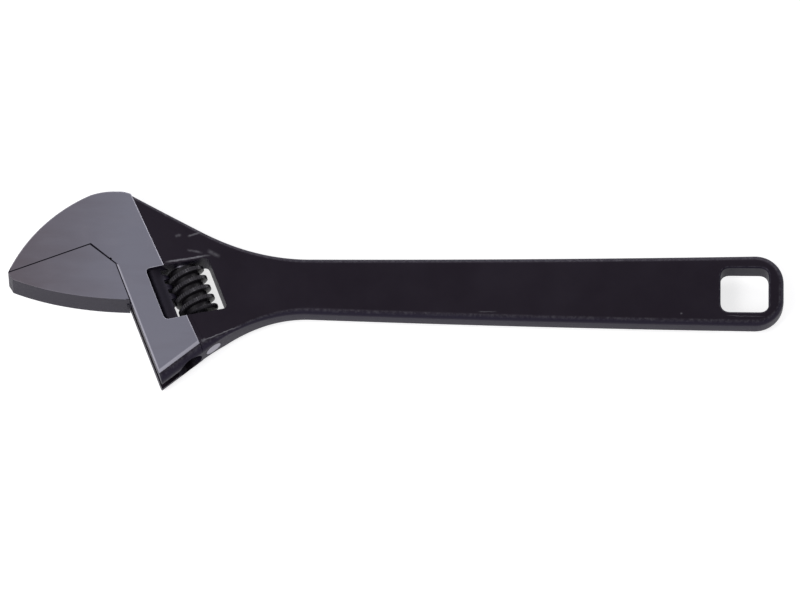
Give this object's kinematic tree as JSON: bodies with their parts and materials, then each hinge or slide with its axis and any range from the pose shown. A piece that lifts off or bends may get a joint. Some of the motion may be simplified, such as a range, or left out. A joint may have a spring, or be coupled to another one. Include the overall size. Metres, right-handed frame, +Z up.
{
  "type": "adjustable wrench",
  "caption": "Adjustable wrench with a fixed jaw forged to its flat handle, a sliding jaw moved by a knurled worm and rack, and a hanging hole in the handle.",
  "frame": {"origin": "middle of the bounding box's bottom, on the plane of the head's lower flat", "axes": "+X from the jaws to the end of the handle, +Y across the handle towards the fixed jaw, +Z up through the thickness"},
  "size_m": [0.305, 0.0788, 0.016],
  "materials": {
    "black_forging": "black phosphate on forged steel, satin, with ground grey flats on both sides of the head",
    "ground_steel": "fine ground flats, black forged edges",
    "black_knurl": "black phosphate, worn on the crests",
    "bare_steel": "bare turned steel",
    "spring_steel": "drawn spring wire"
  },
  "bodies": {
    "wrench_body": {"body": "black_forging", "knurl_pin": "bare_steel", "knurl_spring": "spring_steel"},
    "sliding_jaw": {"movable_jaw": "ground_steel"},
    "worm": {"knurl": "black_knurl"}
  },
  "joints": [
    {"name": "knurl_spin", "type": "hinge", "parent": "wrench_body", "child": "worm", "pos_m": [-0.08056, 0.00065, 0.008], "axis": [-0.3584, 0.9336, 0], "range_deg": [0, 2960]},
    {"name": "jaw_slide", "type": "slide", "parent": "wrench_body", "child": "sliding_jaw", "axis": [0.3584, -0.9336, 0], "range_m": [0, 0.0345]}
  ],
  "couplings": [
    {"joint": "knurl_spin", "follows": "jaw_slide", "rad_per_m": 1496}
  ]
}
